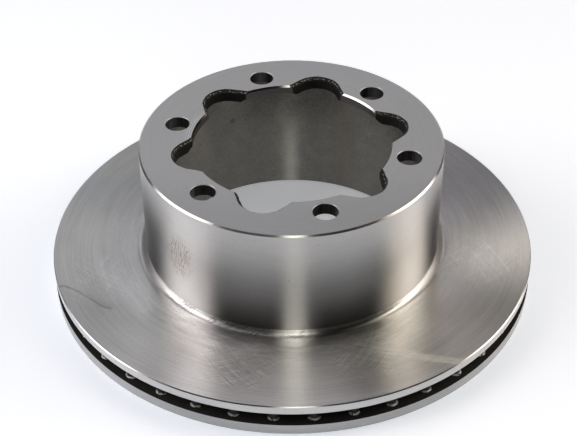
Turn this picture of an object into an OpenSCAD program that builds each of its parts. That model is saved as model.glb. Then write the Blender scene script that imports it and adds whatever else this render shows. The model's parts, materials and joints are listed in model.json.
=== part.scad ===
// Ventilated brake disc with a deep hat, cast in one piece in grey iron and then turned.
// Two friction cheeks are held apart by rows of round pins. The outboard cheek runs into
// the hat, and the inside of the hat is a parking brake drum. The disc lies on its inboard
// friction face, with the hub axis along Z and the mounting face on top.

/* [Friction ring] */
// Outer diameter of the disc
disc_d = 304; // [290:1:340]
// Thickness of the outboard cheek, the one that runs into the hat
outboard_t = 5.5; // [4:0.5:9]
// Height of the air gap between the cheeks
vent_gap = 9; // [6:0.5:12]
// Thickness of the inboard cheek, the one that the disc lies on
inboard_t = 7; // [4:0.5:10]
// Chamfer at the outer edge of each friction face
rim_chamfer = 0.8; // [0.3:0.1:1.5]
// Width of the ring of open air inlet between the drum and the inboard cheek
inlet_w = 9.5; // [6:0.5:13]
// Chamfer at the inner edge of the inboard friction face
inlet_chamfer = 1.5; // [0.5:0.1:2.5]

/* [Vent pins] */
// Pins in each row
pin_count = 40; // [24:1:44]
// Rows of pins, each turned half a step from the last
pin_rows = 3; // [2:1:4]
// Diameter of a pin at its waist
pin_d = 7.5; // [5:0.5:9]
// Height and width of the flare at each foot of a pin
pin_flare = 1.4; // [0.5:0.1:2]
// Distance from the rim to the middle of the outer row
rim_to_pins = 10; // [7:0.5:14]
// Distance from the inner edge of the inboard cheek to the middle of the inner row
inlet_to_pins = 9.5; // [7:0.5:12]

/* [Hat and drum] */
// Height from the inboard friction face to the mounting face
overall_h = 95.5; // [60:0.5:120]
// Inside diameter of the parking brake drum
drum_d = 172; // [165:1:180]
// Wall between the drum and the outside of the hat
hat_wall = 7; // [5:0.5:9]
// Thickness of the mounting flange
flange_t = 8; // [6.5:0.5:12]
// Chamfer round the mounting face
hat_chamfer = 1; // [0.4:0.1:2]
// Fillet at the foot of the hat
foot_fillet = 3.5; // [1:0.5:5]
// Width of the turned relief between that fillet and the friction face
relief_w = 2; // [1:0.5:6]
// Depth of the turned relief
relief_depth = 0.3; // [0.2:0.1:1]
// Fillet in the corner between the drum and the flange
drum_fillet = 4; // [1:0.5:6]
// Fillet in the corner between the hat and the vent side of the outboard cheek
vent_fillet = 2.5; // [1:0.5:4]
// Chamfer at the mouth of the drum
mouth_chamfer = 1; // [0.5:0.1:2.5]
// How far the mouth of the drum stands back from the inboard friction face
mouth_setback = 0.5; // [0.2:0.1:2]

/* [Hub opening] */
// Diameter of the machined pilot bore
pilot_d = 121; // [112:1:123]
// Chamfer on top of the pilot bore
pilot_chamfer = 1; // [0.4:0.1:1.5]
// Bevel under the pilot bore
pilot_bevel = 3; // [0.5:0.1:4]
// Diameter over the tips of the cast lobes
lobe_reach = 148.2; // [140:0.2:154]
// Radius of the rounded tip of a lobe
lobe_tip_r = 15.4; // [12:0.2:17]
// Angle between the flank of a lobe and its middle line
lobe_flank = 31.5; // [20:0.5:40]
// Cast bevel round the top edge of a lobe
lobe_bevel = 2; // [0.5:0.1:3]
// Turn of the cast lobes from midway between the drilled holes
lobe_turn = -1.3; // [-3:0.1:3]

/* [Bolt holes] */
// Number of bolt holes, with one lobe between each two
bolt_count = 6; // [4:1:7]
// Diameter of the circle through the bolt holes
bolt_pcd = 146; // [138:1:152]
// Diameter of a bolt hole
bolt_d = 15; // [10:0.5:16]
// Chamfer at both ends of a bolt hole
bolt_chamfer = 0.4; // [0.2:0.1:1]
// Angle of the first bolt hole
bolt_angle = 45; // [0:1:60]

/* [Hidden] */

disc_r = disc_d / 2;
drum_r = drum_d / 2;
hat_r = drum_r + hat_wall;
pilot_r = pilot_d / 2;
inboard_r = hat_r + inlet_w;

// Heights, from the inboard friction face up
vent_bottom = inboard_t;
vent_top = inboard_t + vent_gap;
ring_top = vent_top + outboard_t;
flange_bottom = overall_h - flange_t;
relief_top = ring_top - relief_depth;
relief_r = hat_r + foot_fillet + relief_w;

// Rows of pins, spread evenly from the rim to the inlet
outer_row_r = disc_r - rim_to_pins;
inner_row_r = inboard_r + inlet_to_pins;
row_step = (outer_row_r - inner_row_r) / (pin_rows - 1);
pin_step = 360 / pin_count;
pin_angle = 270 + pin_step / 2;
pin_root = 1;

// A lobe: the centre of its tip, and the half width where the flank leaves the tip
bolt_step = 360 / bolt_count;
lobe_tip_x = lobe_reach / 2 - lobe_tip_r;
lobe_angle = bolt_angle + bolt_step / 2 + lobe_turn;
clear = 1;

$fn = 180;
small_fn = 48;

// Quarter-round filler for an inside corner at the origin, with its arms along +X and +Y
module corner_fillet(r) {
    difference() {
        square(r);
        translate([r, r]) circle(r, $fn = small_fn);
    }
}

// Half section of the hat, its flange and the outboard cheek
module hat_section() {
    polygon([
        [pilot_r, overall_h - pilot_chamfer],
        [pilot_r + pilot_chamfer, overall_h],
        [hat_r - hat_chamfer, overall_h],
        [hat_r, overall_h - hat_chamfer],
        [hat_r, relief_top],
        [relief_r, relief_top],
        [relief_r + relief_depth, ring_top],
        [disc_r - rim_chamfer, ring_top],
        [disc_r, ring_top - rim_chamfer],
        [disc_r, vent_top],
        [hat_r, vent_top],
        [hat_r, mouth_setback],
        [drum_r + mouth_chamfer, mouth_setback],
        [drum_r, mouth_setback + mouth_chamfer],
        [drum_r, flange_bottom],
        [pilot_r + pilot_bevel, flange_bottom],
        [pilot_r, flange_bottom + pilot_bevel],
    ]);
    translate([hat_r, relief_top]) corner_fillet(foot_fillet);
    translate([hat_r, vent_top]) mirror([0, 1]) corner_fillet(vent_fillet);
    translate([drum_r, flange_bottom]) rotate(180) corner_fillet(drum_fillet);
}

// Half section of the inboard cheek
module inboard_section() {
    polygon([
        [inboard_r + inlet_chamfer, 0],
        [disc_r - rim_chamfer, 0],
        [disc_r, rim_chamfer],
        [disc_r, vent_bottom],
        [inboard_r, vent_bottom],
        [inboard_r, inlet_chamfer],
    ]);
}

// One vent pin with a flared foot on each cheek, rooted a little way into both
module vent_pin() {
    waist_r = pin_d / 2;
    foot_r = waist_r + pin_flare;
    rotate_extrude($fn = small_fn)
        polygon([
            [0, vent_bottom - pin_root],
            [foot_r, vent_bottom - pin_root],
            [foot_r, vent_bottom],
            [waist_r, vent_bottom + pin_flare],
            [waist_r, vent_top - pin_flare],
            [foot_r, vent_top],
            [foot_r, vent_top + pin_root],
            [0, vent_top + pin_root],
        ]);
}

// All the rows of pins, staggered
module vent_pins() {
    for (row = [0 : pin_rows - 1], i = [0 : pin_count - 1])
        rotate(pin_angle + (i + (row % 2) / 2) * pin_step)
            translate([outer_row_r - row * row_step, 0])
                vent_pin();
}

// Plan of one lobe along +X, drawn in from its top edge by a margin
module lobe_plan(inset) {
    tip_r = lobe_tip_r - inset;
    flank_x = lobe_tip_x + tip_r * sin(lobe_flank);
    flank_y = tip_r * cos(lobe_flank);
    run = (flank_x - pilot_r / 2) * tan(lobe_flank);
    translate([lobe_tip_x, 0]) circle(tip_r);
    polygon([
        [flank_x, flank_y],
        [pilot_r / 2, flank_y + run],
        [pilot_r / 2, -flank_y - run],
        [flank_x, -flank_y],
    ]);
}

// Cast bevel along one flank of a lobe, from the tip towards the pilot bore
module flank_bevel() {
    run = (lobe_tip_x + lobe_tip_r * sin(lobe_flank) - pilot_r / 2) / cos(lobe_flank);
    translate([lobe_tip_x, 0, overall_h])
        rotate([90, 0, 90 - lobe_flank])
            translate([0, 0, -run])
                linear_extrude(run)
                    polygon([
                        [0, -lobe_bevel],
                        [lobe_tip_r - lobe_bevel, -lobe_bevel],
                        [lobe_tip_r + clear, clear],
                        [0, clear],
                    ]);
}

// Space of one lobe, right through the flange, with its cast bevel on top
module lobe_cut() {
    translate([0, 0, flange_bottom - clear])
        linear_extrude(flange_t + 2 * clear)
            lobe_plan(lobe_bevel);
    translate([lobe_tip_x, 0, overall_h - lobe_bevel])
        cylinder(h = lobe_bevel + clear, r1 = lobe_tip_r - lobe_bevel, r2 = lobe_tip_r + clear);
    flank_bevel();
    mirror([0, 1, 0]) flank_bevel();
}

// One bolt hole, chamfered at both ends
module bolt_cut() {
    hole_r = bolt_d / 2;
    rotate_extrude($fn = small_fn)
        polygon([
            [0, flange_bottom - clear],
            [hole_r + bolt_chamfer + clear, flange_bottom - clear],
            [hole_r, flange_bottom + bolt_chamfer],
            [hole_r, overall_h - bolt_chamfer],
            [hole_r + bolt_chamfer + clear, overall_h + clear],
            [0, overall_h + clear],
        ]);
}

// The whole casting, drilled and turned
module brake_disc() {
    color("darkgray")
        difference() {
            union() {
                rotate_extrude() hat_section();
                rotate_extrude() inboard_section();
                vent_pins();
            }
            for (i = [0 : bolt_count - 1]) {
                rotate(bolt_angle + i * bolt_step)
                    translate([bolt_pcd / 2, 0])
                        bolt_cut();
                rotate(lobe_angle + i * bolt_step)
                    lobe_cut();
            }
        }
}

brake_disc();
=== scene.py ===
import json
import math

import bpy
from mathutils import Matrix, Vector


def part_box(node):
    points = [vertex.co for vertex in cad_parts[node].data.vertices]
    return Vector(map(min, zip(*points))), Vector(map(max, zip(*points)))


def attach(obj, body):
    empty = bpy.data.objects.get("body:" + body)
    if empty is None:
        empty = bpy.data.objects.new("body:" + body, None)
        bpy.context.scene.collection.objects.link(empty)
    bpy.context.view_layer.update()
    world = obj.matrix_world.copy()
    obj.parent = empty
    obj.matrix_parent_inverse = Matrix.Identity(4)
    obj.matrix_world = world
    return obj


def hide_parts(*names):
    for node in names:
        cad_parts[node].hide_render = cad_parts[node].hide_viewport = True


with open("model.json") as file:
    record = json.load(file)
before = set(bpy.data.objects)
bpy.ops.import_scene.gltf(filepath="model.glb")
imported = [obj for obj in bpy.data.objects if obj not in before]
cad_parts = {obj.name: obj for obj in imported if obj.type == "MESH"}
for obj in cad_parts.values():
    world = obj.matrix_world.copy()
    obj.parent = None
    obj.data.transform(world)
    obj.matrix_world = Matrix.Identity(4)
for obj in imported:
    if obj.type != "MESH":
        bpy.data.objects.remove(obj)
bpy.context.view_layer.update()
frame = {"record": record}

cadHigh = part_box("brake_disc")[1]
mounts = {mount["name"]: mount for mount in frame["record"]["mounts"]}
mm = 0.001


class Field:
    # A socket that can be written into a sum
    def __init__(self, tree, socket):
        self.tree = tree
        self.socket = socket

    def math(self, operation, *values):
        return self.tree.node("ShaderNodeMath", {"operation": operation}, dict(enumerate(values)))

    def of(self, operation):
        return self.math(operation, self)

    def swing(self):
        # A noise that swings about 0 in place of a half
        return self - 0.5

    def also(self, name):
        return Field(self.tree, self.socket.node.outputs[name])

    def __add__(self, other):
        return self.math("ADD", self, other)

    def __sub__(self, other):
        return self.math("SUBTRACT", self, other)

    def __mul__(self, other):
        return self.math("MULTIPLY", self, other)

    def __truediv__(self, other):
        return self.math("DIVIDE", self, other)

    def __rsub__(self, other):
        return self.math("SUBTRACT", other, self)

    def __gt__(self, other):
        return self.math("GREATER_THAN", self, other)

    def __lt__(self, other):
        return self.math("LESS_THAN", self, other)

    def __abs__(self):
        return self.of("ABSOLUTE")

    __radd__ = __add__
    __rmul__ = __mul__


class Tree:
    # Adds nodes to a shader or a geometry tree
    def __init__(self, nodeTree):
        self.nodes = nodeTree.nodes
        self.links = nodeTree.links

    def node(self, kind, settings=None, values=None, output=0):
        made = self.nodes.new(kind)
        for key, value in (settings or {}).items():
            setattr(made, key, value)
        for key, value in (values or {}).items():
            self.feed(made.inputs[key], value)
        return Field(self, made.outputs[output]) if made.outputs else made

    def feed(self, socket, value):
        if isinstance(value, Field):
            self.links.new(value.socket, socket)
        elif socket.type == "RGBA" and len(value) == 3:
            socket.default_value = (*value, 1)
        else:
            socket.default_value = value

    def vector(self, x=0.0, y=0.0, z=0.0):
        return self.node("ShaderNodeCombineXYZ", None, {0: x, 1: y, 2: z})

    def split(self, vector):
        return self.node("ShaderNodeSeparateXYZ", None, {0: vector})

    def scaled(self, vector, scale):
        # A place or a colour times a number
        return self.node("ShaderNodeVectorMath", {"operation": "SCALE"}, {0: vector, "Scale": scale})

    def noise(self, vector, scale=1.0, detail=2.0, roughness=0.5):
        values = {"Vector": vector, "Scale": scale, "Detail": detail, "Roughness": roughness}
        return self.node("ShaderNodeTexNoise", None, values)

    def smooth(self, value, start, full):
        # 0 up to start and 1 from full on, whichever of the two is higher
        values = {"Value": value, "From Min": start, "From Max": full}
        return self.node("ShaderNodeMapRange", {"interpolation_type": "SMOOTHSTEP"}, values)

    def mixColour(self, factor, first, second):
        mix = self.nodes.new("ShaderNodeMix")
        mix.data_type = "RGBA"
        self.feed(mix.inputs[0], factor)
        self.feed(mix.inputs[6], first)
        self.feed(mix.inputs[7], second)
        return Field(self, mix.outputs[2])


# The casting: a hat with a drum inside it, and two cheeks with an air gap between them
casting = {
    "discR": round(cadHigh.x, 3),
    "topZ": round(cadHigh.z, 4),
    "hatR": 93 * mm,
    "drumR": mounts["brake_drum"]["dims"]["r_mm"] * mm,
    "pilotR": mounts["pilot_bore"]["dims"]["r_mm"] * mm,
    "inboardR": 102.5 * mm,
    "ringTop": round(mounts["outboard_friction_face"]["pos_m"][2], 4),
    "ventTop": 16 * mm,
    "ventBottom": 7 * mm,
    "flangeT": 8 * mm,
    "rimChamfer": 0.55 * mm,
    "baseChamfer": 0.25 * mm,
    "inletChamfer": 1.5 * mm,
    "hatChamfer": 1 * mm,
    "footFillet": 3.5 * mm,
    "footSteps": 8,
    "reliefW": 2 * mm,
    "reliefDepth": 0.3 * mm,
    "reliefRun": 0.8 * mm,
    "reliefSoft": 0.2 * mm,
    "drumFillet": 4 * mm,
    "drumSteps": 6,
    "ventFillet": 2.5 * mm,
    "ventSteps": 5,
    "mouthChamfer": 1 * mm,
    "mouthSetback": 0.5 * mm,
    "pilotChamfer": 1 * mm,
    "pilotBevel": 3 * mm,
    "segments": 540,
    "sharpAngle": math.radians(24),
}
bolts = {
    "count": mounts["hub_bolts"]["dims"]["count"],
    "circleR": mounts["hub_bolts"]["dims"]["pcd_mm"] * mm / 2,
    "holeR": mounts["hub_bolts"]["dims"]["hole_r_mm"] * mm,
    "angle": math.radians(45),
    "chamfer": 0.4 * mm,
    "segments": 64,
}
lobes = {
    "reach": 74.1 * mm,
    "tipR": 15.4 * mm,
    "flank": math.radians(31.5),
    "turn": math.radians(-1.3),
    "bevel": 2 * mm,
    "bevelSteps": 6,
    "bevelPower": 1.25,  # 1 is a straight bevel, and more makes it rounder
    "wallSteps": 6,
    "flare": 0.3 * mm,  # the mouth under the flange is wider by this
    "flareHeight": 0.4 * mm,
    "tipSteps": 44,
    "flankSteps": 14,
    "wander": 0.45 * mm,
    "wanderSize": 5 * mm,
    "grit": 0.28 * mm,
    "gritSize": 1.3 * mm,
    "seed": 0.3,
}
nick = {"angle": math.radians(241.8), "length": 2.6 * mm, "depth": 0.7 * mm, "thin": 0.05 * mm}
clear = 1 * mm


def arcPoints(centre, radius, start, end, steps):
    # Points of an arc in a section, with angles in degrees
    angles = [math.radians(start + (end - start) * i / steps) for i in range(steps + 1)]
    return [(centre[0] + radius * math.cos(a), centre[1] + radius * math.sin(a)) for a in angles]


def hatSection(c):
    reliefTop = c["ringTop"] - c["reliefDepth"]
    reliefR = c["hatR"] + c["footFillet"] + c["reliefW"]
    flangeBottom = c["topZ"] - c["flangeT"]
    foot = (c["hatR"] + c["footFillet"], reliefTop + c["footFillet"])
    vent = (c["hatR"] + c["ventFillet"], c["ventTop"] - c["ventFillet"])
    drum = (c["drumR"] - c["drumFillet"], flangeBottom - c["drumFillet"])
    return [
        (c["pilotR"], c["topZ"] - c["pilotChamfer"]),
        (c["pilotR"] + c["pilotChamfer"], c["topZ"]),
        (c["hatR"] - c["hatChamfer"], c["topZ"]),
        (c["hatR"], c["topZ"] - c["hatChamfer"]),
        *arcPoints(foot, c["footFillet"], 180, 270, c["footSteps"]),
        (reliefR - c["reliefRun"] - c["reliefSoft"], reliefTop),
        (reliefR - c["reliefRun"], reliefTop),
        (reliefR + c["reliefRun"], c["ringTop"]),
        (reliefR + c["reliefRun"] + c["reliefSoft"], c["ringTop"]),
        (c["discR"] - c["rimChamfer"], c["ringTop"]),
        (c["discR"], c["ringTop"] - c["rimChamfer"]),
        (c["discR"], c["ventTop"]),
        *arcPoints(vent, c["ventFillet"], 90, 180, c["ventSteps"]),
        (c["hatR"], c["mouthSetback"]),
        (c["drumR"] + c["mouthChamfer"], c["mouthSetback"]),
        (c["drumR"], c["mouthSetback"] + c["mouthChamfer"]),
        *arcPoints(drum, c["drumFillet"], 0, 90, c["drumSteps"]),
        (c["pilotR"] + c["pilotBevel"], flangeBottom),
        (c["pilotR"], flangeBottom + c["pilotBevel"]),
    ]


def cheekSection(c):
    return [
        (c["inboardR"] + c["inletChamfer"], 0),
        (c["discR"] - c["baseChamfer"], 0),
        (c["discR"], c["baseChamfer"]),
        (c["discR"], c["ventBottom"]),
        (c["inboardR"], c["ventBottom"]),
        (c["inboardR"], c["inletChamfer"]),
    ]


def addObject(name, data):
    made = bpy.data.objects.new(name, data)
    bpy.context.scene.collection.objects.link(made)
    return made


def addMesh(name, vertices, edges=(), faces=()):
    mesh = bpy.data.meshes.new(name)
    mesh.from_pydata(vertices, edges, faces)
    return addObject(name, mesh)


def sectionObject(name, loops):
    # Closed outlines in the XZ plane, as edges only
    vertices, edges = [], []
    for loop in loops:
        first = len(vertices)
        vertices += [(r, 0, z) for r, z in loop]
        edges += [(first + i, first + (i + 1) % len(loop)) for i in range(len(loop))]
    return addMesh(name, vertices, edges)


def loftObject(name, rings):
    # A closed solid through rings that have as many points each
    count = len(rings[0])
    vertices = [point for ring in rings for point in ring]
    faces = [tuple(reversed(range(count))), tuple(range(len(vertices) - count, len(vertices)))]
    for level in range(len(rings) - 1):
        low, high = level * count, (level + 1) * count
        for i in range(count):
            j = (i + 1) % count
            faces.append((low + i, low + j, high + j, high + i))
    return addMesh(name, vertices, (), faces)


def circleRing(radius, z, count):
    angles = [2 * math.pi * i / count for i in range(count)]
    return [(radius * math.cos(a), radius * math.sin(a), z) for a in angles]


def drillObject(c, b):
    flangeBottom = c["topZ"] - c["flangeT"]
    wide = b["holeR"] + b["chamfer"] + clear
    levels = [
        (wide, flangeBottom - clear),
        (b["holeR"], flangeBottom + b["chamfer"]),
        (b["holeR"], c["topZ"] - b["chamfer"]),
        (wide, c["topZ"] + clear),
    ]
    return loftObject("drill", [circleRing(radius, z, b["segments"]) for radius, z in levels])


def lobeRing(c, l, inset, z):
    # Outline of one lobe at a height, from flank to tip to flank
    tipX = l["reach"] - l["tipR"]
    radius = l["tipR"] - inset
    turnIn = math.pi / 2 - l["flank"]
    endX, endY = tipX + radius * math.cos(turnIn), radius * math.sin(turnIn)
    innerX = c["pilotR"] / 2
    upper = []
    for i in range(l["flankSteps"]):
        x = innerX + (endX - innerX) * i / l["flankSteps"]
        upper.append((x, endY + (endX - x) * math.tan(l["flank"]), z))
    tip = []
    for i in range(l["tipSteps"] + 1):
        a = turnIn - 2 * turnIn * i / l["tipSteps"]
        tip.append((tipX + radius * math.cos(a), radius * math.sin(a), z))
    lower = [(x, -y, z) for x, y, z in reversed(upper)]
    return list(reversed(upper + tip + lower))


def lobeObject(c, l):
    top, bottom = c["topZ"], c["topZ"] - c["flangeT"]
    levels = [(bottom - clear, l["bevel"] - l["flare"]), (bottom + l["flareHeight"], l["bevel"])]
    for i in range(1, l["wallSteps"]):
        levels.append((bottom + (top - l["bevel"] - bottom) * i / l["wallSteps"], l["bevel"]))
    for i in range(l["bevelSteps"] + 1):
        share = i / l["bevelSteps"]
        inset = l["bevel"] * (1 - share ** l["bevelPower"])
        levels.append((top - l["bevel"] * (1 - share), inset))
    levels.append((top + clear, -clear))
    return loftObject("lobe", [lobeRing(c, l, inset, z) for z, inset in levels])


def nickObject(c, n):
    # A small dent in the chamfer round the mounting face
    radius = c["hatR"] - c["hatChamfer"] / 2
    rings = []
    for share in (-1, -0.6, 0, 0.6, 1):
        half = n["depth"] * (1 - share * share) + n["thin"]
        a = n["angle"] + share * n["length"] / 2 / radius
        centre = Vector((radius * math.cos(a), radius * math.sin(a), c["topZ"] - c["hatChamfer"] / 2))
        outward = Vector((math.cos(a), math.sin(a), 0))
        ring = [centre + outward * half, centre + Vector((0, 0, half)), centre - outward * half]
        rings.append([tuple(p) for p in [*ring, centre - Vector((0, 0, half))]])
    return loftObject("nick", rings)


def startTree(name, values):
    # A geometry tree with one geometry in and out and a named input for each value
    kinds = {int: "Int", float: "Float"}
    nodeTree = bpy.data.node_groups.new(name, "GeometryNodeTree")
    nodeTree.interface.new_socket("Geometry", in_out="INPUT", socket_type="NodeSocketGeometry")
    for label, value in values.items():
        kind = "NodeSocket" + kinds.get(type(value), "Object")
        nodeTree.interface.new_socket(label, in_out="INPUT", socket_type=kind)
    nodeTree.interface.new_socket("Geometry", in_out="OUTPUT", socket_type="NodeSocketGeometry")
    tree = Tree(nodeTree)
    return nodeTree, tree, tree.node("NodeGroupInput")


def applyTree(worker, nodeTree, values):
    # Runs the tree on the object and keeps the result as a plain mesh
    modifier = worker.modifiers.new(nodeTree.name, "NODES")
    modifier.node_group = nodeTree
    for item in nodeTree.interface.items_tree:
        if item.in_out == "INPUT" and item.name in values:
            modifier[item.identifier] = values[item.name]
    depsgraph = bpy.context.evaluated_depsgraph_get()
    result = bpy.data.meshes.new_from_object(worker.evaluated_get(depsgraph))
    worker.modifiers.remove(modifier)
    worker.data = result


def turnedAround(tree, section, pathR, segments):
    # Sweeps a section of the XZ plane round the Z axis
    across = tree.split(tree.node("GeometryNodeInputPosition"))
    laidFlat = tree.vector(across - pathR, 0 - across.also("Z"))
    laid = tree.node("GeometryNodeSetPosition", None, {"Geometry": section, "Position": laidFlat})
    profile = tree.node("GeometryNodeMeshToCurve", None, {"Mesh": laid})
    values = {"Resolution": segments, "Radius": pathR}
    circle = tree.node("GeometryNodeCurvePrimitiveCircle", None, values)
    upright = tree.node("GeometryNodeSetCurveNormal", {"mode": "Z_UP"}, {"Curve": circle})
    return tree.node("GeometryNodeCurveToMesh", None, {"Curve": upright, "Profile Curve": profile})


def copiesOf(tree, form, count, angle, radius, values):
    # Copies of a form round the Z axis
    points = tree.node("GeometryNodeMeshLine", None, {"Count": count, "Offset": (0, 0, 0)})
    outward = tree.scaled(tree.vector(angle.of("COSINE"), angle.of("SINE")), radius)
    spread = tree.node("GeometryNodeSetPosition", None, {"Geometry": points, "Position": outward})
    values = {"Points": spread, "Instance": form, **values}
    copies = tree.node("GeometryNodeInstanceOnPoints", None, values)
    return tree.node("GeometryNodeRealizeInstances", None, {"Geometry": copies})


def ringOf(tree, form, count, radius, first):
    # Copies that are each turned with their place
    angle = tree.node("GeometryNodeInputIndex") * (2 * math.pi) / count + first
    turn = tree.node("FunctionNodeEulerToRotation", None, {"Euler": tree.vector(0, 0, angle)})
    return copiesOf(tree, form, count, angle, radius, {"Rotation": turn})


def formOf(tree, source):
    return tree.node("GeometryNodeObjectInfo", None, {"Object": source}, "Geometry")


def roughened(tree, form, size, amount, seed):
    # Moves points sideways by a noise, as sand moulding leaves them
    values = {0: tree.node("GeometryNodeInputPosition"), 1: tree.vector(seed, 0, 0)}
    shifted = tree.node("ShaderNodeVectorMath", {"operation": "ADD"}, values)
    sides = tree.split(tree.noise(shifted, 1 / size, 2).also("Color"))
    move = tree.vector(sides.swing() * (2 * amount), sides.also("Y").swing() * (2 * amount))
    return tree.node("GeometryNodeSetPosition", None, {"Geometry": form, "Offset": move})


def finished(tree, form, material, selection=True):
    values = {"Geometry": form, "Selection": selection, "Material": material}
    return tree.node("GeometryNodeSetMaterial", None, values)


def castingTree(c, b, l, finishes, values):
    nodeTree, tree, given = startTree("turnedCasting", values)
    body = turnedAround(tree, given, given.also("Path Radius"), given.also("Segments"))
    drill, lobe, dent = (formOf(tree, given.also(name)) for name in ("Drill", "Lobe", "Nick"))
    holes, seed = given.also("Holes"), given.also("Seed")
    drills = ringOf(tree, drill, holes, given.also("Hole Circle"), given.also("First Hole"))
    cast = ringOf(tree, lobe, holes, 0.0, given.also("First Lobe"))
    cast = roughened(tree, cast, l["wanderSize"], l["wander"], seed)
    cast = roughened(tree, cast, l["gritSize"], l["grit"], seed + 1)
    for cutter in (cast, drills, dent):
        settings = {"operation": "DIFFERENCE", "solver": "MANIFOLD"}
        body = tree.node("GeometryNodeMeshBoolean", settings, {"Mesh 1": body, "Mesh 2": cutter})
    body = tree.node("GeometryNodeSetShadeSmooth", None, {"Geometry": body, "Shade Smooth": True})
    sharp = tree.node("GeometryNodeInputMeshEdgeAngle") > given.also("Sharp Angle")
    values = {"Geometry": body, "Selection": sharp, "Shade Smooth": False}
    body = tree.node("GeometryNodeSetShadeSmooth", {"domain": "EDGE"}, values)
    body = tree.node("GeometryNodeRealizeInstances", None, {"Geometry": body})
    body = finished(tree, body, finishes["sandCast"])
    for name, zone in castingZones(tree, c, b).items():
        body = finished(tree, body, finishes[name], zone)
    tree.node("NodeGroupOutput", None, {0: body})
    return nodeTree


def castingZones(tree, c, b):
    # Which faces the lathe, the grinder and the drill have made, by place and by slope
    near = 0.05 * mm
    level = 0.9  # a normal points at least this far up, or down, on a level face
    tilted = 0.3  # and at least this far on a chamfer
    inward = -0.5
    x = tree.split(tree.node("GeometryNodeInputPosition"))
    y, z = x.also("Y"), x.also("Z")
    slope = tree.split(tree.node("GeometryNodeInputNormal"))
    r = (x * x + y * y).of("SQRT")
    outward = (slope * x + slope.also("Y") * y) / r
    sideways = abs(slope.also("Y") * x - slope * y) / r
    up = slope.also("Z")
    step = 2 * math.pi / b["count"]
    turns = (y.math("ARCTAN2", y, x) - b["angle"]) / step
    lane = (turns - turns.of("ROUND")) * step
    alongX = r * lane.of("COSINE") - b["circleR"]
    alongY = r * lane.of("SINE")
    nearHole = (alongX * alongX + alongY * alongY) < (b["holeR"] + 2 * b["chamfer"]) ** 2
    flangeBottom = c["topZ"] - c["flangeT"]
    flange = z > (flangeBottom - 2 * near)
    upward, downward = up > level, up < -level
    reliefTop = c["ringTop"] - c["reliefDepth"]
    ringStart = c["hatR"] + c["footFillet"]
    outside = (r > c["hatR"] - c["hatChamfer"]) * (z > reliefTop - near) * (z < c["topZ"] - near)
    inGap = (z > c["ventBottom"] - near) * (z < c["ventTop"] + near)
    rim = (r > c["discR"] - c["rimChamfer"] - near) * (1 - inGap)
    bore = flange * (sideways < tilted) * (outward < inward) * (r < c["pilotR"] + c["pilotBevel"] * 0.6)
    ring = upward * (r > ringStart) * (z > reliefTop - near)
    face = upward * (z > c["topZ"] - near) + nearHole * (z > c["topZ"] - clear)
    return {
        "turnedHat": outside,
        "turnedFoot": outside * (z < c["ringTop"] + c["footFillet"]),
        "turnedRim": rim,
        "turnedEdge": rim * (abs(up) > tilted),
        "groundFace": (abs(up) > level) * (z < near) + ring,
        "facedFlange": (up > tilted) * face,
        "honedDrum": (r < c["drumR"] + near) * (z < flangeBottom + near),
        "boredEdge": bore * (up > tilted),
        "boredLand": bore * (up < tilted),
        "drilledHole": flange * nearHole * (abs(up) < tilted),
        "honedFlange": downward * (abs(z - flangeBottom) < near),
    }


# Round pins between the cheeks, in rows that stand half a step from each other
pins = {
    "count": 40,
    "rows": 3,
    "waistR": 3.0 * mm,
    "flare": 0.9 * mm,
    "flareSteps": 4,
    "root": 1 * mm,
    "outerRowR": 145 * mm,
    "innerRowR": 112 * mm,
    "first": math.radians(274.5),
    "segments": 24,
    "seed": 4,
    "spread": 0.05,  # how much the pins differ in width
}


def pinObject(c, p):
    low, high = c["ventBottom"], c["ventTop"]
    levels = [(p["waistR"] + p["flare"], low - p["root"])]
    for i in range(p["flareSteps"] + 1):
        a = math.pi / 2 * i / p["flareSteps"]
        radius = p["waistR"] + p["flare"] * (1 - math.sin(a))
        levels.append((radius, low + p["flare"] * (1 - math.cos(a))))
    levels += [(radius, low + high - z) for radius, z in reversed(levels)]
    return loftObject("pin", [circleRing(radius, z, p["segments"]) for radius, z in levels])


def pinTree(finish, values):
    nodeTree, tree, given = startTree("rowsOfPins", values)
    count, rows, outer = given.also("Count"), given.also("Rows"), given.also("Outer Row")
    index = tree.node("GeometryNodeInputIndex")
    row = (index / count).of("FLOOR")
    half = row.math("MODULO", row, 2) / 2
    angle = (index + half) * (2 * math.pi) / count + given.also("First")
    radius = outer - row * (outer - given.also("Inner Row")) / (rows - 1)
    least, most = 2, 3  # the sockets of the node's number, after those of its vector
    spread = given.also("Spread")
    values = {least: 1 - spread, most: 1 + spread, "Seed": given.also("Seed")}
    width = tree.node("FunctionNodeRandomValue", {"data_type": "FLOAT"}, values, 1)
    pin, scale = formOf(tree, given.also("Pin")), tree.vector(width, width, 1.0)
    copies = copiesOf(tree, pin, rows * count, angle, radius, {"Scale": scale})
    copies = tree.node("GeometryNodeSetShadeSmooth", None, {"Geometry": copies, "Shade Smooth": True})
    tree.node("NodeGroupOutput", None, {0: finished(tree, copies, finish)})
    return nodeTree


def polar(tree):
    # Object place in millimetres, with the radius and the angle round the hub
    place = tree.scaled(tree.node("ShaderNodeTexCoord", None, None, "Object"), 1 / mm)
    x = tree.split(place)
    y, z = x.also("Y"), x.also("Z")
    r = (x * x + y * y).of("SQRT")
    return {"place": place, "x": x, "y": y, "z": z, "r": r, "angle": y.math("ARCTAN2", y, x)}


def emptyTree(owner):
    # The shader tree of a new material or world, without the nodes that it comes with
    owner.use_nodes = True
    owner.node_tree.nodes.clear()
    return Tree(owner.node_tree)


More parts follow.
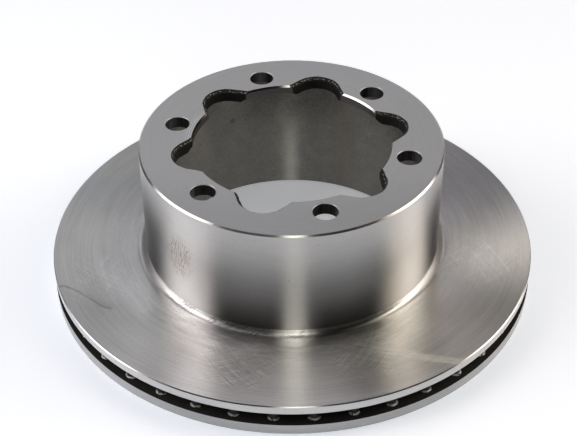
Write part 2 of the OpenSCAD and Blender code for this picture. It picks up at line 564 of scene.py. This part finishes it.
def makeFinish(name, look, paint):
    # One iron finish: what is the same all over sits on the shader's own sockets
    material = bpy.data.materials.new(name)
    tree = emptyTree(material)
    at = polar(tree)
    varied = paint(tree, at, look)
    if "speckle" in look:
        size, tone = look["speckle"]
        fine = tree.noise(at["place"], 1 / size, 2, 0.7)
        varied["colour"] = tree.scaled(varied["colour"], 1 + fine.swing() * tone)
    values = {
        "Base Color": varied["colour"],
        "Roughness": varied["roughness"],
        "Metallic": look["metallic"],
        "Anisotropic": look["anisotropic"],
        "Anisotropic Rotation": look["turn"],
        "Specular IOR Level": look["specular"],
    }
    bump = {"Height": varied["height"], "Distance": look["bumpDepth"], "Strength": look["bump"]}
    values["Normal"] = tree.node("ShaderNodeBump", None, bump)
    shader = tree.node("ShaderNodeBsdfPrincipled", None, values)
    tree.node("ShaderNodeOutputMaterial", None, {"Surface": shader})
    return material


# How each surface of the casting looks. Sizes and places are in millimetres, angles in degrees.
# Of two numbers, an effect starts at the first and is full at the second. "half" is the same,
# counted from the mark's angle, and "core" leaves the middle out. "tone" is the change of brightness.
# "lines" are drawn with a size across, a length along and for a radius. "speckle" is size and tone.
machined = {
    "metallic": 1.0,
    "specular": 0.5,
    "roughness": 0.28,
    "anisotropic": 0.9,
    "turn": 0.25,  # a quarter: the shine crosses the turned lines
    "bump": 1.0,
    "bumpDepth": 0.01 * mm,
    "wideness": 5,  # the wide lines are this many times as wide as the fine ones
    "tones": {"lines": 0.16, "wide": 0.1},
}
unturned = {"anisotropic": 0.0, "turn": 0.0}
looks = {
    "groundFace": {
        "colour": (0.62, 0.62, 0.615), "metallic": 0.9, "roughness": 0.285, "anisotropic": 0.93,
        "bumpDepth": 0.02 * mm, "lines": (0.9, 60, 125), "lineDepth": 0.5, "wideness": 6,
        "tones": {"lines": 0.4, "wide": 0.3, "clouds": 0.2},
        "cloudSize": 35, "speckle": (0.9, 0.4),
        "hatch": {
            "size": 1.5, "length": 22, "radius": 125, "slant": 0.011, "pale": (0.53, 0.64),
            "dark": (0.43, 0.34), "darkShare": 0.6, "gapSize": 6, "gaps": (0.35, 0.6), "tone": 0.26,
        },
        # x, y, radius and strength
        "patches": [(-31, -115, 26, 1.1), (41, -111, 24, 0.8), (118, -28, 28, 0.7), (-118, -40, 26, 0.5)],
        "brushed": {
            "lines": (2.6, 18, 125), "r": (124, 102), "angle": 262, "half": (58, 34), "tone": (0.35, 1.5),
        },
        # Painted highlight and painted shade near the foot of the hat
        "foot": {"angle": 271, "half": (50, 40), "r": (134, 112), "tone": 0.19},
        "footShade": {"angle": 271, "half": (36, 27), "core": (3, 9), "r": (106, 99), "tone": 0.45},
        "footGlint": {"angle": 270, "half": (9, 2), "r": (108, 98), "tone": 0.55},
        "flank": {"angle": 272, "half": (34, 26), "core": (12, 21), "r": (104, 114), "tone": 0.16},
        "wander": {"scale": 0.12, "reach": 5},
        "stain": {
            "x": (-142, -108), "y": (-48, -69), "end": (-107, -111), "half": (1.26, 0.28),
            "tone": 0.3, "wash": (6, 1), "washX": (-133, -116), "washTone": 0.13,
        },
        "smear": {
            "from": (46, -105.5), "to": (103, -119.5), "x": (38, 56), "half": (4.8, 0.96),
            "wander": 0.4, "grain": (14, 1.1), "broken": (0.3, 0.65), "tone": 0.3, "roughness": 0.1,
        },
        # The fans below are painted highlights
        "fanR": 110,  # a fan stands at its angle here, and leans by its lean for each millimetre outward
        "fans": [
            {"angle": -24, "lean": 0.6, "half": 26, "tone": 0.5, "r": (96, 98)},
            {"angle": -148, "lean": -0.5, "half": 22, "tone": 0.42, "r": (138, 108)},
        ],
    },
    "turnedHat": {
        "colour": (0.43, 0.425, 0.42), "bumpDepth": 0.012 * mm, "lines": (0.6, 30, 93),
        "wideness": 6,
        "tones": {"lines": 0.14, "wide": 0.12, "clouds": 0.1},
        "cloudSize": 18, "speckle": (0.9, 0.14),
        "rubbed": {
            "angle": 224, "z": 58, "half": (12.5, 17), "step": 1.9, "wave": (0.0, 0.8), "bend": 10,
            "bendScale": 0.09, "broken": (0.38, 0.5), "breakScale": 0.3, "tone": 0.45, "dull": 0.03,
            "roughness": 0.04, "depth": 0.6, "tint": (1.0, 0.96, 0.94),
        },
        # Painted shade at the right side, near the foot and at the front, and a painted highlight on the
        # top chamfer
        "right": {"angle": 352, "half": (29, 11), "z": (96, 60), "tone": 0.4},
        "edgeTone": 0.35,
        "heights": {"z": (55, 92), "tone": (0.78, 1.1)},
        "shade": {"angle": 272, "half": (35, 26), "core": (4, 11), "z": (52, 28), "tone": 0.45},
        "pores": {"size": 1.2, "share": (0.79, 0.84), "tone": 0.25, "depth": 2},
    },
    "turnedFoot": {
        "colour": (0.6, 0.595, 0.59), "roughness": 0.3, "anisotropic": 0.8, "bumpDepth": 0.04 * mm,
        "lines": (0.6, 12, 96), "lineDepth": 0.3,
        "chatter": {
            "size": 0.9, "length": 4, "slant": 0.9, "angles": (226, 243, 257, 271), "half": (9, 2),
            "elsewhere": 0.15, "marks": (0.5, 0.38), "tone": 0.5,
        },
        "shade": {"angle": 271, "half": (34, 26), "core": (4, 12), "z": (30, 27), "tone": 0.42},
        "glint": {"angle": 270, "half": (11, 3), "tone": 0.7},
        "sides": {"angle": 270, "half": (48, 60), "roughness": 0.22},
    },
    "turnedRim": {
        "colour": (0.58, 0.58, 0.578), "metallic": 0.9, "roughness": 0.42, "anisotropic": 0.6,
        # lower is painted shade on the inboard cheek, and sides a painted highlight towards the left and
        # right
        "lines": (0.5, 25, 152), "lower": 0.75,
        "sides": {"x": (130, 149), "tone": 0.4},
        "speckle": (0.9, 0.25),
    },
    "turnedEdge": {
        "colour": (0.62, 0.615, 0.61), "lines": (0.5, 15, 152),
        "shade": {"angle": 271, "half": (42, 34), "core": (4, 8), "z": (18, 20), "tone": 0.65},
    },
    "facedFlange": {
        "colour": (0.475, 0.497, 0.525), "metallic": 0.5, "roughness": 0.48, "anisotropic": 0.3,
        "bumpDepth": 0.012 * mm, "lines": (0.5, 20, 80), "speckle": (0.9, 0.3),
        # Painted shade towards the front
        "front": {"y": (-15, -90), "tone": 0.19},
        "rings": {"angle": 168, "half": 26, "r": (57, 66), "size": 1.5, "wave": (0.2, 0.9), "tone": 0.45},
    },
    "honedDrum": {
        "colour": (0.22, 0.215, 0.195), "metallic": 0.85, "roughness": 0.34, "lineRoughness": 0.08,
        "anisotropic": 1.0, "bumpDepth": 0.012 * mm, "lines": (0.8, 3, 86), "base": 1.2,
        "tones": {"lines": 0.3, "clouds": 0.5, "mottle": 0.6},
        "cloudSize": 9, "mottleScale": 0.7, "speckle": (0.8, 0.4),
        # glint is a painted highlight, and right and shade are painted shade
        "glint": {"angle": 90, "half": (5.5, 0), "z": (62, 18), "tone": 0.85},
        "right": {"angle": 25, "half": (40, 22), "z": (30, 70), "low": 0.7, "tone": 0.3},
        "shade": {"angle": 90, "half": (30, 12), "z": (40, 74), "tone": 0.5},
        "spot": {"angle": 117, "z": 58, "half": 2.2, "tone": 0.45},
        "rust": {"angle": 65, "half": (6, 0), "colour": (0.30, 0.19, 0.16), "share": 0.42},
    },
    "honedFlange": {
        "colour": (0.22, 0.215, 0.2), "metallic": 0.75, "roughness": 0.42, "anisotropic": 0.7,
        "bumpDepth": 0.012 * mm, "lines": (0.8, 15, 75),
    },
    "boredEdge": {
        "colour": (0.62, 0.615, 0.60), "anisotropic": 0.85, "lines": (0.5, 15, 60),
        # Painted shade on the left side of the chamfer
        "worn": {"x": (-2, -9), "tone": 0.85},
    },
    "boredLand": {
        "colour": (0.13, 0.128, 0.125), "metallic": 0.9, "roughness": 0.36, "anisotropic": 0.7,
        "bumpDepth": 0.02 * mm, "lines": (0.6, 12, 60),
    },
    "drilledHole": {
        **unturned,
        "colour": (0.07, 0.069, 0.068), "metallic": 0.9, "roughness": 0.4, "bumpDepth": 0.03 * mm,
        "stripes": {"size": 2.2, "tone": 2, "roughness": 0.1},
    },
    "castPins": {
        **unturned,
        "colour": (0.04, 0.0395, 0.0385), "metallic": 0.6, "roughness": 0.4, "bumpDepth": 0.5 * mm,
        "grain": {"size": 1.4, "tone": 0.9, "roughness": 0.3},
        # Painted highlights on the outer side of each pin's foot
        "specks": {"z": (8.1, 7.5), "r": (145.5, 147), "share": (0.42, 0.48), "colour": (0.6, 0.59, 0.58)},
    },
    "sandCast": {
        **unturned,
        "colour": (0.03, 0.0295, 0.0285), "metallic": 0.0, "specular": 0.06, "roughness": 0.6,
        "bumpDepth": 0.4 * mm,
        "grain": {"size": 1.1, "tone": 0.9, "roughness": 0.3},
        "fineTone": 0.5,
        "edge": {"depth": (-1.9, -0.6), "ragged": 2.0, "colour": (0.022, 0.0218, 0.021)},
        "chips": {"depth": (-1.8, -0.4), "soft": 0.4, "size": 1.0, "share": (0.53, 0.61), "tone": 13.0},
        "top": {"z": (40, 80), "tone": 0.5},
    },
}


# Other places in the noise, so that one drawing doesn't repeat another
shifts = {"wide": 40, "brushed": 90, "crossed": 7}


def around(tree, angle, steps, along):
    # A place on a circle of that many millimetre steps, so that nothing breaks at the seam
    return tree.vector(angle.of("COSINE") * steps, angle.of("SINE") * steps, along)


def grooves(tree, at, lines, shift=0.0):
    # Lines round the hub: a noise that is fine across the turning and drawn out along it
    size, length, radius = lines
    across = (at["r"] + at["z"]) / size + shift
    return tree.noise(around(tree, at["angle"], radius / length, across), 1, 3, 0.65)


def crossing(tree, at, hatch, side):
    # Slanted pale scratches with dark ones between them, one of the two ways that they cross
    turned = at["angle"] + at["r"] * (side * hatch["slant"])
    steps = hatch["radius"] / hatch["size"]
    along = at["r"] / hatch["length"] + side * shifts["crossed"]
    drawn = tree.noise(around(tree, turned, steps, along), 1, 1)
    return tree.smooth(drawn, *hatch["pale"]) - tree.smooth(drawn, *hatch["dark"]) * hatch["darkShare"]


def nearness(tree, across, along, half):
    # 1 in the middle of an ellipse and 0 outside it, with a soft edge
    u, v = across / half[0], along / half[1]
    return tree.smooth((u * u + v * v).of("SQRT"), 1.15, 0.5)


def waves(along, step):
    return (along * (2 * math.pi / step)).of("SINE")


def fromMark(at, mark):
    # The angle round the hub, counted from a mark's
    angle = mark["angle"] - 360 if mark["angle"] > 180 else mark["angle"]
    return at["angle"] - math.radians(angle)


def awayFrom(at, mark):
    # The same in degrees, to either side
    return abs(fromMark(at, mark)) * (180 / math.pi)


def besideMark(tree, at, mark):
    return tree.smooth(awayFrom(at, mark), *mark["half"])


def markTone(tree, at, mark, way):
    # A soft patch about an angle round the hub, which fades along r or z
    return besideMark(tree, at, mark) * tree.smooth(at[way], *mark[way]) * mark["tone"]


def sideShade(tree, at, shade, way):
    # Two bands beside the stripe at the front, which fade along r or z
    return markTone(tree, at, shade, way) * tree.smooth(awayFrom(at, shade), *shade["core"])


def turnedTone(tree, at, look):
    # What the tool has left: fine lines and wide ones, and clouds where the look has them
    (size, length, radius), tones = look["lines"], look["tones"]
    fine = grooves(tree, at, look["lines"])
    wide = grooves(tree, at, (size * look["wideness"], length, radius), shifts["wide"])
    tone = 1 + fine.swing() * tones["lines"] + wide.swing() * tones["wide"]
    if "clouds" in tones:
        tone += tree.noise(at["place"], 1 / look["cloudSize"], 2).swing() * tones["clouds"]
    return fine, tone


def paintTurned(tree, at, look):
    lines, tone = turnedTone(tree, at, look)
    return {"colour": tree.scaled(look["colour"], tone), "roughness": look["roughness"], "height": lines}


def retinted(tree, painted, tone):
    return {**painted, "colour": tree.scaled(painted["colour"], tone)}


def paintRim(tree, at, look):
    # Painted shade makes the inboard cheek darker than the outboard one, and a painted highlight brightens
    # both at the sides
    upper = tree.smooth(at["z"], casting["ventBottom"] / mm, casting["ventTop"] / mm)
    sides = tree.smooth(abs(at["x"]), *look["sides"]["x"]) * look["sides"]["tone"]
    tone = (upper * (1 - look["lower"]) + look["lower"]) * (1 + sides)
    return retinted(tree, paintTurned(tree, at, look), tone)


def paintEdge(tree, at, look):
    # Painted shade on the chamfer at the rim, beside the bright stripe at the front
    return retinted(tree, paintTurned(tree, at, look), 1 - sideShade(tree, at, look["shade"], "z"))


def paintFoot(tree, at, look):
    # The tool has chattered here and there in the corner at the foot of the hat
    chatter, glint, sides = look["chatter"], look["glint"], look["sides"]
    painted = paintTurned(tree, at, look)
    radius = look["lines"][-1]
    turned = at["angle"] + (at["r"] - at["z"]) * (chatter["slant"] / radius)
    along = (at["r"] - at["z"]) / chatter["length"]
    drawn = tree.noise(around(tree, turned, radius / chatter["size"], along), 1, 2)
    struck = chatter["elsewhere"]
    for angle in chatter["angles"]:
        struck = besideMark(tree, at, {"angle": angle, "half": chatter["half"]}) + struck
    dark = tree.smooth(drawn, *chatter["marks"]) * struck
    # Painted highlight in the glint and painted shade beside it
    tone = 1 - dark * chatter["tone"] + besideMark(tree, at, glint) * glint["tone"]
    painted = retinted(tree, painted, tone * (1 - sideShade(tree, at, look["shade"], "z")))
    rough = besideMark(tree, at, sides) * sides["roughness"] + look["roughness"]
    return {**painted, "roughness": rough, "height": painted["height"] * look["lineDepth"] - dark}


def paintFlange(tree, at, look):
    # The faced mounting ring, with painted shade towards the front and a few brighter rings beside the
    # bore at the left
    rings, front = look["rings"], look["front"]
    low, high = rings["r"]
    middle = (low + high) / 2
    away = fromMark(at, rings) * middle
    half = math.radians(rings["half"]) * middle, (high - low) / 2
    near = nearness(tree, away, at["r"] - middle, half)
    bright = near * tree.smooth(waves(at["r"], rings["size"]), *rings["wave"])
    tone = 1 - tree.smooth(at["y"], *front["y"]) * front["tone"] + bright * rings["tone"]
    return retinted(tree, paintTurned(tree, at, look), tone)


def paintShadedEdge(tree, at, look):
    # Painted shade on one side of the chamfer
    worn = look["worn"]
    return retinted(tree, paintTurned(tree, at, look), 1 - tree.smooth(at["x"], *worn["x"]) * worn["tone"])


def paintHole(tree, at, look):
    # A drilled wall with the upright marks of the tool drawn out of it
    stripes = look["stripes"]
    drawn = tree.noise(tree.vector(at["x"] / stripes["size"], at["y"] / stripes["size"]), 1, 2)
    rough = look["roughness"] + drawn.swing() * stripes["roughness"]
    tone = 1 + drawn.swing() * stripes["tone"]
    return {"colour": tree.scaled(look["colour"], tone), "roughness": rough, "height": drawn}


def scratchMarks(tree, at, look):
    # Crossed scratches in a few patches, with gaps in them
    hatch = look["hatch"]
    rubbed = 0.0
    for x, y, radius, strength in look["patches"]:
        rubbed = nearness(tree, at["x"] - x, at["y"] - y, (radius, radius)) * strength + rubbed
    whole = tree.smooth(tree.noise(at["place"], 1 / hatch["gapSize"], 2), *hatch["gaps"])
    return (crossing(tree, at, hatch, 1) + crossing(tree, at, hatch, -1)) * rubbed * whole * hatch["tone"]


def stainTone(tree, at, stain, wander):
    # The dried run of oil at the left edge: a thin line with a faint wash above its lower end
    startY, endY = stain["y"]
    off = at["y"] - startY - tree.smooth(at["x"], *stain["x"]) * (endY - startY) - wander
    before = tree.smooth(at["x"], *stain["end"])
    run = tree.smooth(abs(off), *stain["half"]) * before
    wash = tree.smooth(off, 0, 1) * tree.smooth(off, *stain["wash"]) * before
    wash = wash * tree.smooth(at["x"], *stain["washX"])
    return run * stain["tone"] + wash * stain["washTone"]


def smearShare(tree, at, smear, wander):
    # The pale rubbed streak from the foot of the hat to the front right rim
    (fromX, fromY), (toX, toY) = smear["from"], smear["to"]
    slope = (toY - fromY) / (toX - fromX)
    off = at["y"] - fromY - (at["x"] - fromX) * slope + wander * smear["wander"]
    length, width = smear["grain"]
    drawn = tree.noise(tree.vector(at["x"] / length, off / width), 1, 3, 0.65)
    pale = tree.smooth(abs(off), *smear["half"]) * tree.smooth(at["x"], *smear["x"])
    return pale * tree.smooth(drawn, *smear["broken"])


def paintGround(tree, at, look):
    smear, brushed = look["smear"], look["brushed"]
    lines, tone = turnedTone(tree, at, look)
    wander = tree.noise(at["place"], look["wander"]["scale"], 2).swing() * look["wander"]["reach"]
    pale = smearShare(tree, at, smear, wander)
    # Painted highlights: the bright fans at both sides of the face
    for fan in look["fans"]:
        ridge = (at["r"] - look["fanR"]) * math.radians(fan["lean"]) + math.radians(fan["angle"])
        away = abs(at["angle"] - ridge) / math.radians(fan["half"])
        tone += tree.smooth(away, 1, 0) * tree.smooth(at["r"], *fan["r"]) * fan["tone"]
    tone = tone + scratchMarks(tree, at, look) + pale * smear["tone"]
    tone -= stainTone(tree, at, look["stain"], wander)
    # Brushing near the hat, strongest at the front
    low, high = brushed["tone"]
    streaks = grooves(tree, at, brushed["lines"], shifts["brushed"]).swing()
    streaks = streaks * tree.smooth(at["r"], *brushed["r"])
    tone += streaks * (besideMark(tree, at, brushed) * (high - low) + low)
    # Painted highlight and painted shade near the hat: bright beside dark
    tone = tone + markTone(tree, at, look["foot"], "r") + markTone(tree, at, look["footGlint"], "r")
    dim = sideShade(tree, at, look["footShade"], "r") - sideShade(tree, at, look["flank"], "r")
    rough = look["roughness"] + pale * smear["roughness"]
    colour = tree.scaled(look["colour"], tone * (1 - dim))
    return {"colour": colour, "roughness": rough, "height": lines * look["lineDepth"]}


def paintHat(tree, at, look):
    rubbed, pores, heights = look["rubbed"], look["pores"], look["heights"]
    lines, tone = turnedTone(tree, at, look)
    # The worn mark at the left, like the print of a thumb
    across = fromMark(at, rubbed) * look["lines"][-1]
    inside = nearness(tree, across, at["z"] - rubbed["z"], rubbed["half"])
    bent = across + tree.noise(at["place"], rubbed["bendScale"], 2).swing() * rubbed["bend"]
    broken = tree.smooth(tree.noise(at["place"], rubbed["breakScale"], 1), *rubbed["broken"])
    ridges = tree.smooth(waves(bent, rubbed["step"]), *rubbed["wave"]) * inside * broken
    dots = tree.smooth(tree.noise(at["place"], 1 / pores["size"], 0), *pores["share"])
    tone = tone - ridges * rubbed["tone"] - dots * pores["tone"] - inside * rubbed["dull"]
    # Painted shade and light: the wall is darker near its foot and lighter near its top, darker still at
    # both sides of the front and at the right side
    low, high = heights["tone"]
    tone *= tree.smooth(at["z"], *heights["z"]) * (high - low) + low
    tone *= 1 - sideShade(tree, at, look["shade"], "z")
    tone *= 1 - markTone(tree, at, look["right"], "z")
    # Painted highlight along the top chamfer of the hat
    edge = (casting["topZ"] - casting["hatChamfer"]) / mm
    tone *= 1 + tree.smooth(at["z"], edge - 0.1, edge + 0.2) * look["edgeTone"]
    tint = tree.mixColour(inside, (1, 1, 1), rubbed["tint"])
    colour = tree.node("ShaderNodeVectorMath", {"operation": "MULTIPLY"}, {0: tint, 1: look["colour"]})
    return {
        "colour": tree.scaled(colour, tone),
        "roughness": look["roughness"] + inside * rubbed["roughness"],
        "height": lines - ridges * rubbed["depth"] - dots * pores["depth"],
    }


def paintDrum(tree, at, look):
    spot, rust, right, tones = look["spot"], look["rust"], look["right"], look["tones"]
    lines = grooves(tree, at, look["lines"])
    clouds = tree.noise(at["place"], 1 / look["cloudSize"], 4)
    mottle = tree.noise(at["place"], look["mottleScale"], 2)
    tone = look["base"] + lines.swing() * tones["lines"] + clouds.swing() * tones["clouds"]
    tone += mottle.swing() * tones["mottle"]
    # Painted highlight: the lit stripe at the back fades upwards; painted shade on the wall under the
    # flange
    tone = tone + markTone(tree, at, look["glint"], "z") - markTone(tree, at, look["shade"], "z")
    # Painted shade at the right side of the drum, stronger higher up
    less = besideMark(tree, at, right) * (tree.smooth(at["z"], *right["z"]) + right["low"])
    across = fromMark(at, spot) * look["lines"][-1]
    dark = nearness(tree, across, at["z"] - spot["z"], (spot["half"], spot["half"]))
    tone = tone - dark * spot["tone"] - less * right["tone"]
    brown = besideMark(tree, at, rust) * clouds * rust["share"]
    return {
        "colour": tree.mixColour(brown, tree.scaled(look["colour"], tone), rust["colour"]),
        "roughness": look["roughness"] + lines.swing() * look["lineRoughness"],
        "height": lines,
    }


def castGrain(tree, at, look):
    # The grain of the moulding sand, and what it does to the tone and the roughness
    grain = look["grain"]
    drawn = tree.noise(at["place"], 1 / grain["size"], 4, 0.65)
    tone = 1 + drawn.swing() * grain["tone"]
    return drawn, tone, look["roughness"] + drawn.swing() * grain["roughness"]


def paintSandCast(tree, at, look):
    # Dark casting skin, with the edge of a lobe knocked cleaner and chipped in places
    edge, chips, top = look["edge"], look["chips"], look["top"]
    grain, tone, rough = castGrain(tree, at, look)
    fine = tree.noise(at["place"], 3 / look["grain"]["size"], 2, 0.6)
    depth = at["z"] - casting["topZ"] / mm + grain.swing() * edge["ragged"]
    low, high = chips["depth"]
    band = tree.smooth(depth, low, low + chips["soft"]) * tree.smooth(depth, high, high - chips["soft"])
    flecks = tree.smooth(tree.noise(at["place"], 1 / chips["size"], 2), *chips["share"])
    tone += fine.swing() * look["fineTone"]
    skin = tree.scaled(look["colour"], tone * (1 - tree.smooth(at["z"], *top["z"]) * top["tone"]))
    bare = tree.scaled(edge["colour"], tone + flecks * band * chips["tone"])
    clean = tree.smooth(depth, *edge["depth"])
    return {"colour": tree.mixColour(clean, skin, bare), "roughness": rough, "height": grain}


def paintPins(tree, at, look):
    # Dark skin again, with painted highlights as bright specks on the flared foot of each pin, on its
    # outer side
    specks = look["specks"]
    grain, tone, rough = castGrain(tree, at, look)
    bright = tree.smooth(grain, *specks["share"])
    bright = bright * tree.smooth(at["z"], *specks["z"]) * tree.smooth(at["r"], *specks["r"])
    skin = tree.scaled(look["colour"], tone)
    return {"colour": tree.mixColour(bright, skin, specks["colour"]), "roughness": rough, "height": grain}


def makeFinishes():
    painters = {name: paintTurned for name in looks}
    painters |= {"groundFace": paintGround, "turnedHat": paintHat, "honedDrum": paintDrum}
    painters |= {"turnedRim": paintRim, "turnedFoot": paintFoot, "facedFlange": paintFlange}
    painters |= {"boredEdge": paintShadedEdge, "drilledHole": paintHole, "turnedEdge": paintEdge}
    painters |= {"castPins": paintPins, "sandCast": paintSandCast}
    made = {name: makeFinish(name, {**machined, **looks[name]}, painters[name]) for name in looks}
    print("finishes:", len(made))
    return made


def makeCasting(finishes):
    body = sectionObject("castingBody", [hatSection(casting), cheekSection(casting)])
    helpers = {
        "Drill": drillObject(casting, bolts),
        "Lobe": lobeObject(casting, lobes),
        "Nick": nickObject(casting, nick),
    }
    values = {
        **helpers,
        "Segments": casting["segments"],
        "Path Radius": casting["discR"],
        "Holes": bolts["count"],
        "Hole Circle": bolts["circleR"],
        "First Hole": bolts["angle"],
        "First Lobe": bolts["angle"] + math.pi / bolts["count"] + lobes["turn"],
        "Seed": lobes["seed"],
        "Sharp Angle": casting["sharpAngle"],
    }
    applyTree(body, castingTree(casting, bolts, lobes, finishes, values), values)
    for helper in helpers.values():
        bpy.data.objects.remove(helper)
    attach(body, "root")
    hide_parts("brake_disc")
    print("castingBody:", len(body.data.polygons), "faces")


def makePins(finish):
    rows = addMesh("ventPins", [(0, 0, 0)])
    pin = pinObject(casting, pins)
    values = {
        "Pin": pin,
        "Count": pins["count"],
        "Rows": pins["rows"],
        "Outer Row": pins["outerRowR"],
        "Inner Row": pins["innerRowR"],
        "First": pins["first"],
        "Spread": pins["spread"],
        "Seed": pins["seed"],
    }
    applyTree(rows, pinTree(finish, values), values)
    bpy.data.objects.remove(pin)
    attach(rows, "root")
    print("ventPins:", len(rows.data.polygons), "faces")


# The studio: a white table, softboxes all round and a dim room
camera = {
    "focalPixels": 1343.64,
    "imageWidth": 577,
    "elevation": math.radians(38.342),
    "distance": 5.626 * casting["discR"],
    "aim": (-0.0145 * casting["discR"], 0, 0.2312 * casting["discR"]),
    "roll": math.radians(-0.475),
    "sensor": 36,
}
studio = {
    "target": (0, 0, 50 * mm),
    "distance": 2.4,
    "flatFrom": 70,  # a box from this elevation up lies over the part, and a lower one stands
    "world": (0.002, 0.002, 0.002),
    "floorSize": 20,
    "floorDrop": 0.1 * mm,
    "floorColour": (0.94, 0.945, 0.95),
    "floorRoughness": 0.35,
    "floorGlow": (0.309, 0.349, 0.41),
    "shadedGlow": (0.275, 0.282, 0.3),
    "shadedR": (104, 88),  # in millimetres, like all that a shader reads
}
# The azimuths and the elevations that each box spans, in degrees, and its glow. The sides have a
# wide box and a brighter one in its middle, so that their edges stay soft.
softboxes = {
    "leftWide": ((162, 209), (1, 24), (1.3, 1.35, 1.45)),
    "leftMiddle": ((171, 199), (1, 24), (1.3, 1.3, 1.3)),
    "leftHighWide": ((160, 208), (24, 52), (2.6, 2.35, 2.25)),
    "leftHighMiddle": ((168, 198), (24, 52), (1.7, 1.7, 1.7)),
    "leftTop": ((150, 184), (52, 70), (1.35, 1.2, 1.3)),
    "rightWide": ((-13, 25), (1, 24), (2.4, 2.15, 1.9)),
    "rightMiddle": ((-6, 20), (1, 24), (1.2, 1.2, 1.3)),
    "rightHighWide": ((-13, 25), (24, 52), (3.4, 2.95, 2.4)),
    "rightHighMiddle": ((-2, 18), (24, 52), (0.6, 0.6, 0.7)),
    "rightTop": ((0, 40), (52, 70), (0.7, 0.7, 0.5)),
    "frontLow": ((265, 279), (3, 24), (0.45, 0.4, 0.35)),
    "frontStrip": ((265, 279), (24, 52), (2.75, 2.7, 2.45)),
    "frontTop": ((260, 280), (52, 70), (2.1, 2.0, 1.6)),
    "backRight": ((60, 70), (33, 41), (2.0, 1.85, 1.6)),
    "backRightLow": ((48, 62), (16, 33), (0.6, 0.5, 0.4)),
    "backLeft": ((108, 120), (33, 43), (0.8, 0.75, 0.75)),
    "backLeftWide": ((100, 125), (3, 52), (0.25, 0.28, 0.27)),
    "backTop": ((75, 110), (36, 70), (0.6, 0.58, 0.65)),
    "overhead": ((60, 180), (70, 90), (1.7, 1.6, 1.6)),
}


def makeCamera(c):
    forward = Vector((0, math.cos(c["elevation"]), -math.sin(c["elevation"])))
    right = Vector((1, 0, 0))
    up = right.cross(forward)
    turnedRight = right * math.cos(c["roll"]) + up * math.sin(c["roll"])
    turnedUp = up * math.cos(c["roll"]) - right * math.sin(c["roll"])
    eye = Vector(c["aim"]) - forward * c["distance"]
    data = bpy.data.cameras.new("camera")
    data.sensor_width = c["sensor"]
    data.lens = c["focalPixels"] * c["sensor"] / c["imageWidth"]
    made = addObject("camera", data)
    rotation = Matrix((turnedRight, turnedUp, -forward)).transposed()
    made.matrix_world = Matrix.Translation(eye) @ rotation.to_4x4()
    bpy.context.scene.camera = made


def makeSoftbox(name, azimuths, elevations, glow):
    # A rectangle that covers its span of the sky as the part sees it
    lowAzimuth, highAzimuth = (math.radians(a) for a in azimuths)
    lowElevation, highElevation = (math.radians(a) for a in elevations)
    azimuth = (lowAzimuth + highAzimuth) / 2
    elevation = (lowElevation + highElevation) / 2
    data = bpy.data.lights.new(name, "AREA")
    data.shape = "RECTANGLE"
    if elevations[0] >= studio["flatFrom"]:
        level = math.cos(elevation)
        away = studio["distance"] * level
        outward = Vector((math.cos(azimuth) * level, math.sin(azimuth) * level, math.sin(elevation)))
        centre = outward * studio["distance"]
        data.size_y = 2 * studio["distance"] * math.tan((highElevation - lowElevation) / 2)
    else:
        away = studio["distance"] * math.cos(highElevation)
        low, high = away * math.tan(lowElevation), away * math.tan(highElevation)
        outward = Vector((math.cos(azimuth), math.sin(azimuth), 0))
        centre = outward * away + Vector((0, 0, (low + high) / 2))
        data.size_y = high - low
    data.size = 2 * away * math.tan((highAzimuth - lowAzimuth) / 2)
    brightest = max(glow)
    data.energy = brightest * math.pi * data.size * data.size_y
    data.color = [value / brightest for value in glow]
    made = addObject(name, data)
    made.location = Vector(studio["target"]) + centre
    made.rotation_euler = outward.to_track_quat("Z", "Y").to_euler()


def makeFloor():
    half, low = studio["floorSize"] / 2, -studio["floorDrop"]
    corners = [(-half, -half, low), (half, -half, low), (half, half, low), (-half, half, low)]
    floor = addMesh("floor", corners, (), [(0, 1, 2, 3)])
    material = bpy.data.materials.new("paleTable")
    tree = emptyTree(material)
    shaded = tree.smooth(polar(tree)["r"], *studio["shadedR"])  # less light falls under the disc
    values = {
        "Base Color": studio["floorColour"],
        "Roughness": studio["floorRoughness"],
        "Emission Color": tree.mixColour(shaded, studio["floorGlow"], studio["shadedGlow"]),
        "Emission Strength": 1.0,
    }
    shader = tree.node("ShaderNodeBsdfPrincipled", None, values)
    tree.node("ShaderNodeOutputMaterial", None, {"Surface": shader})
    floor.data.materials.append(material)


def makeStudio():
    makeCamera(camera)
    makeFloor()
    for name, box in softboxes.items():
        makeSoftbox(name, *box)
    world = bpy.data.worlds.new("room")
    tree = emptyTree(world)
    air = tree.node("ShaderNodeBackground", None, {"Color": studio["world"], "Strength": 1.0})
    tree.node("ShaderNodeOutputWorld", None, {"Surface": air})
    bpy.context.scene.world = world
    bpy.context.scene.view_settings.view_transform = "Standard"
    print("studio:", len(softboxes), "softboxes")


finishes = makeFinishes()
makeCasting(finishes)
makePins(finishes["castPins"])
makeStudio()
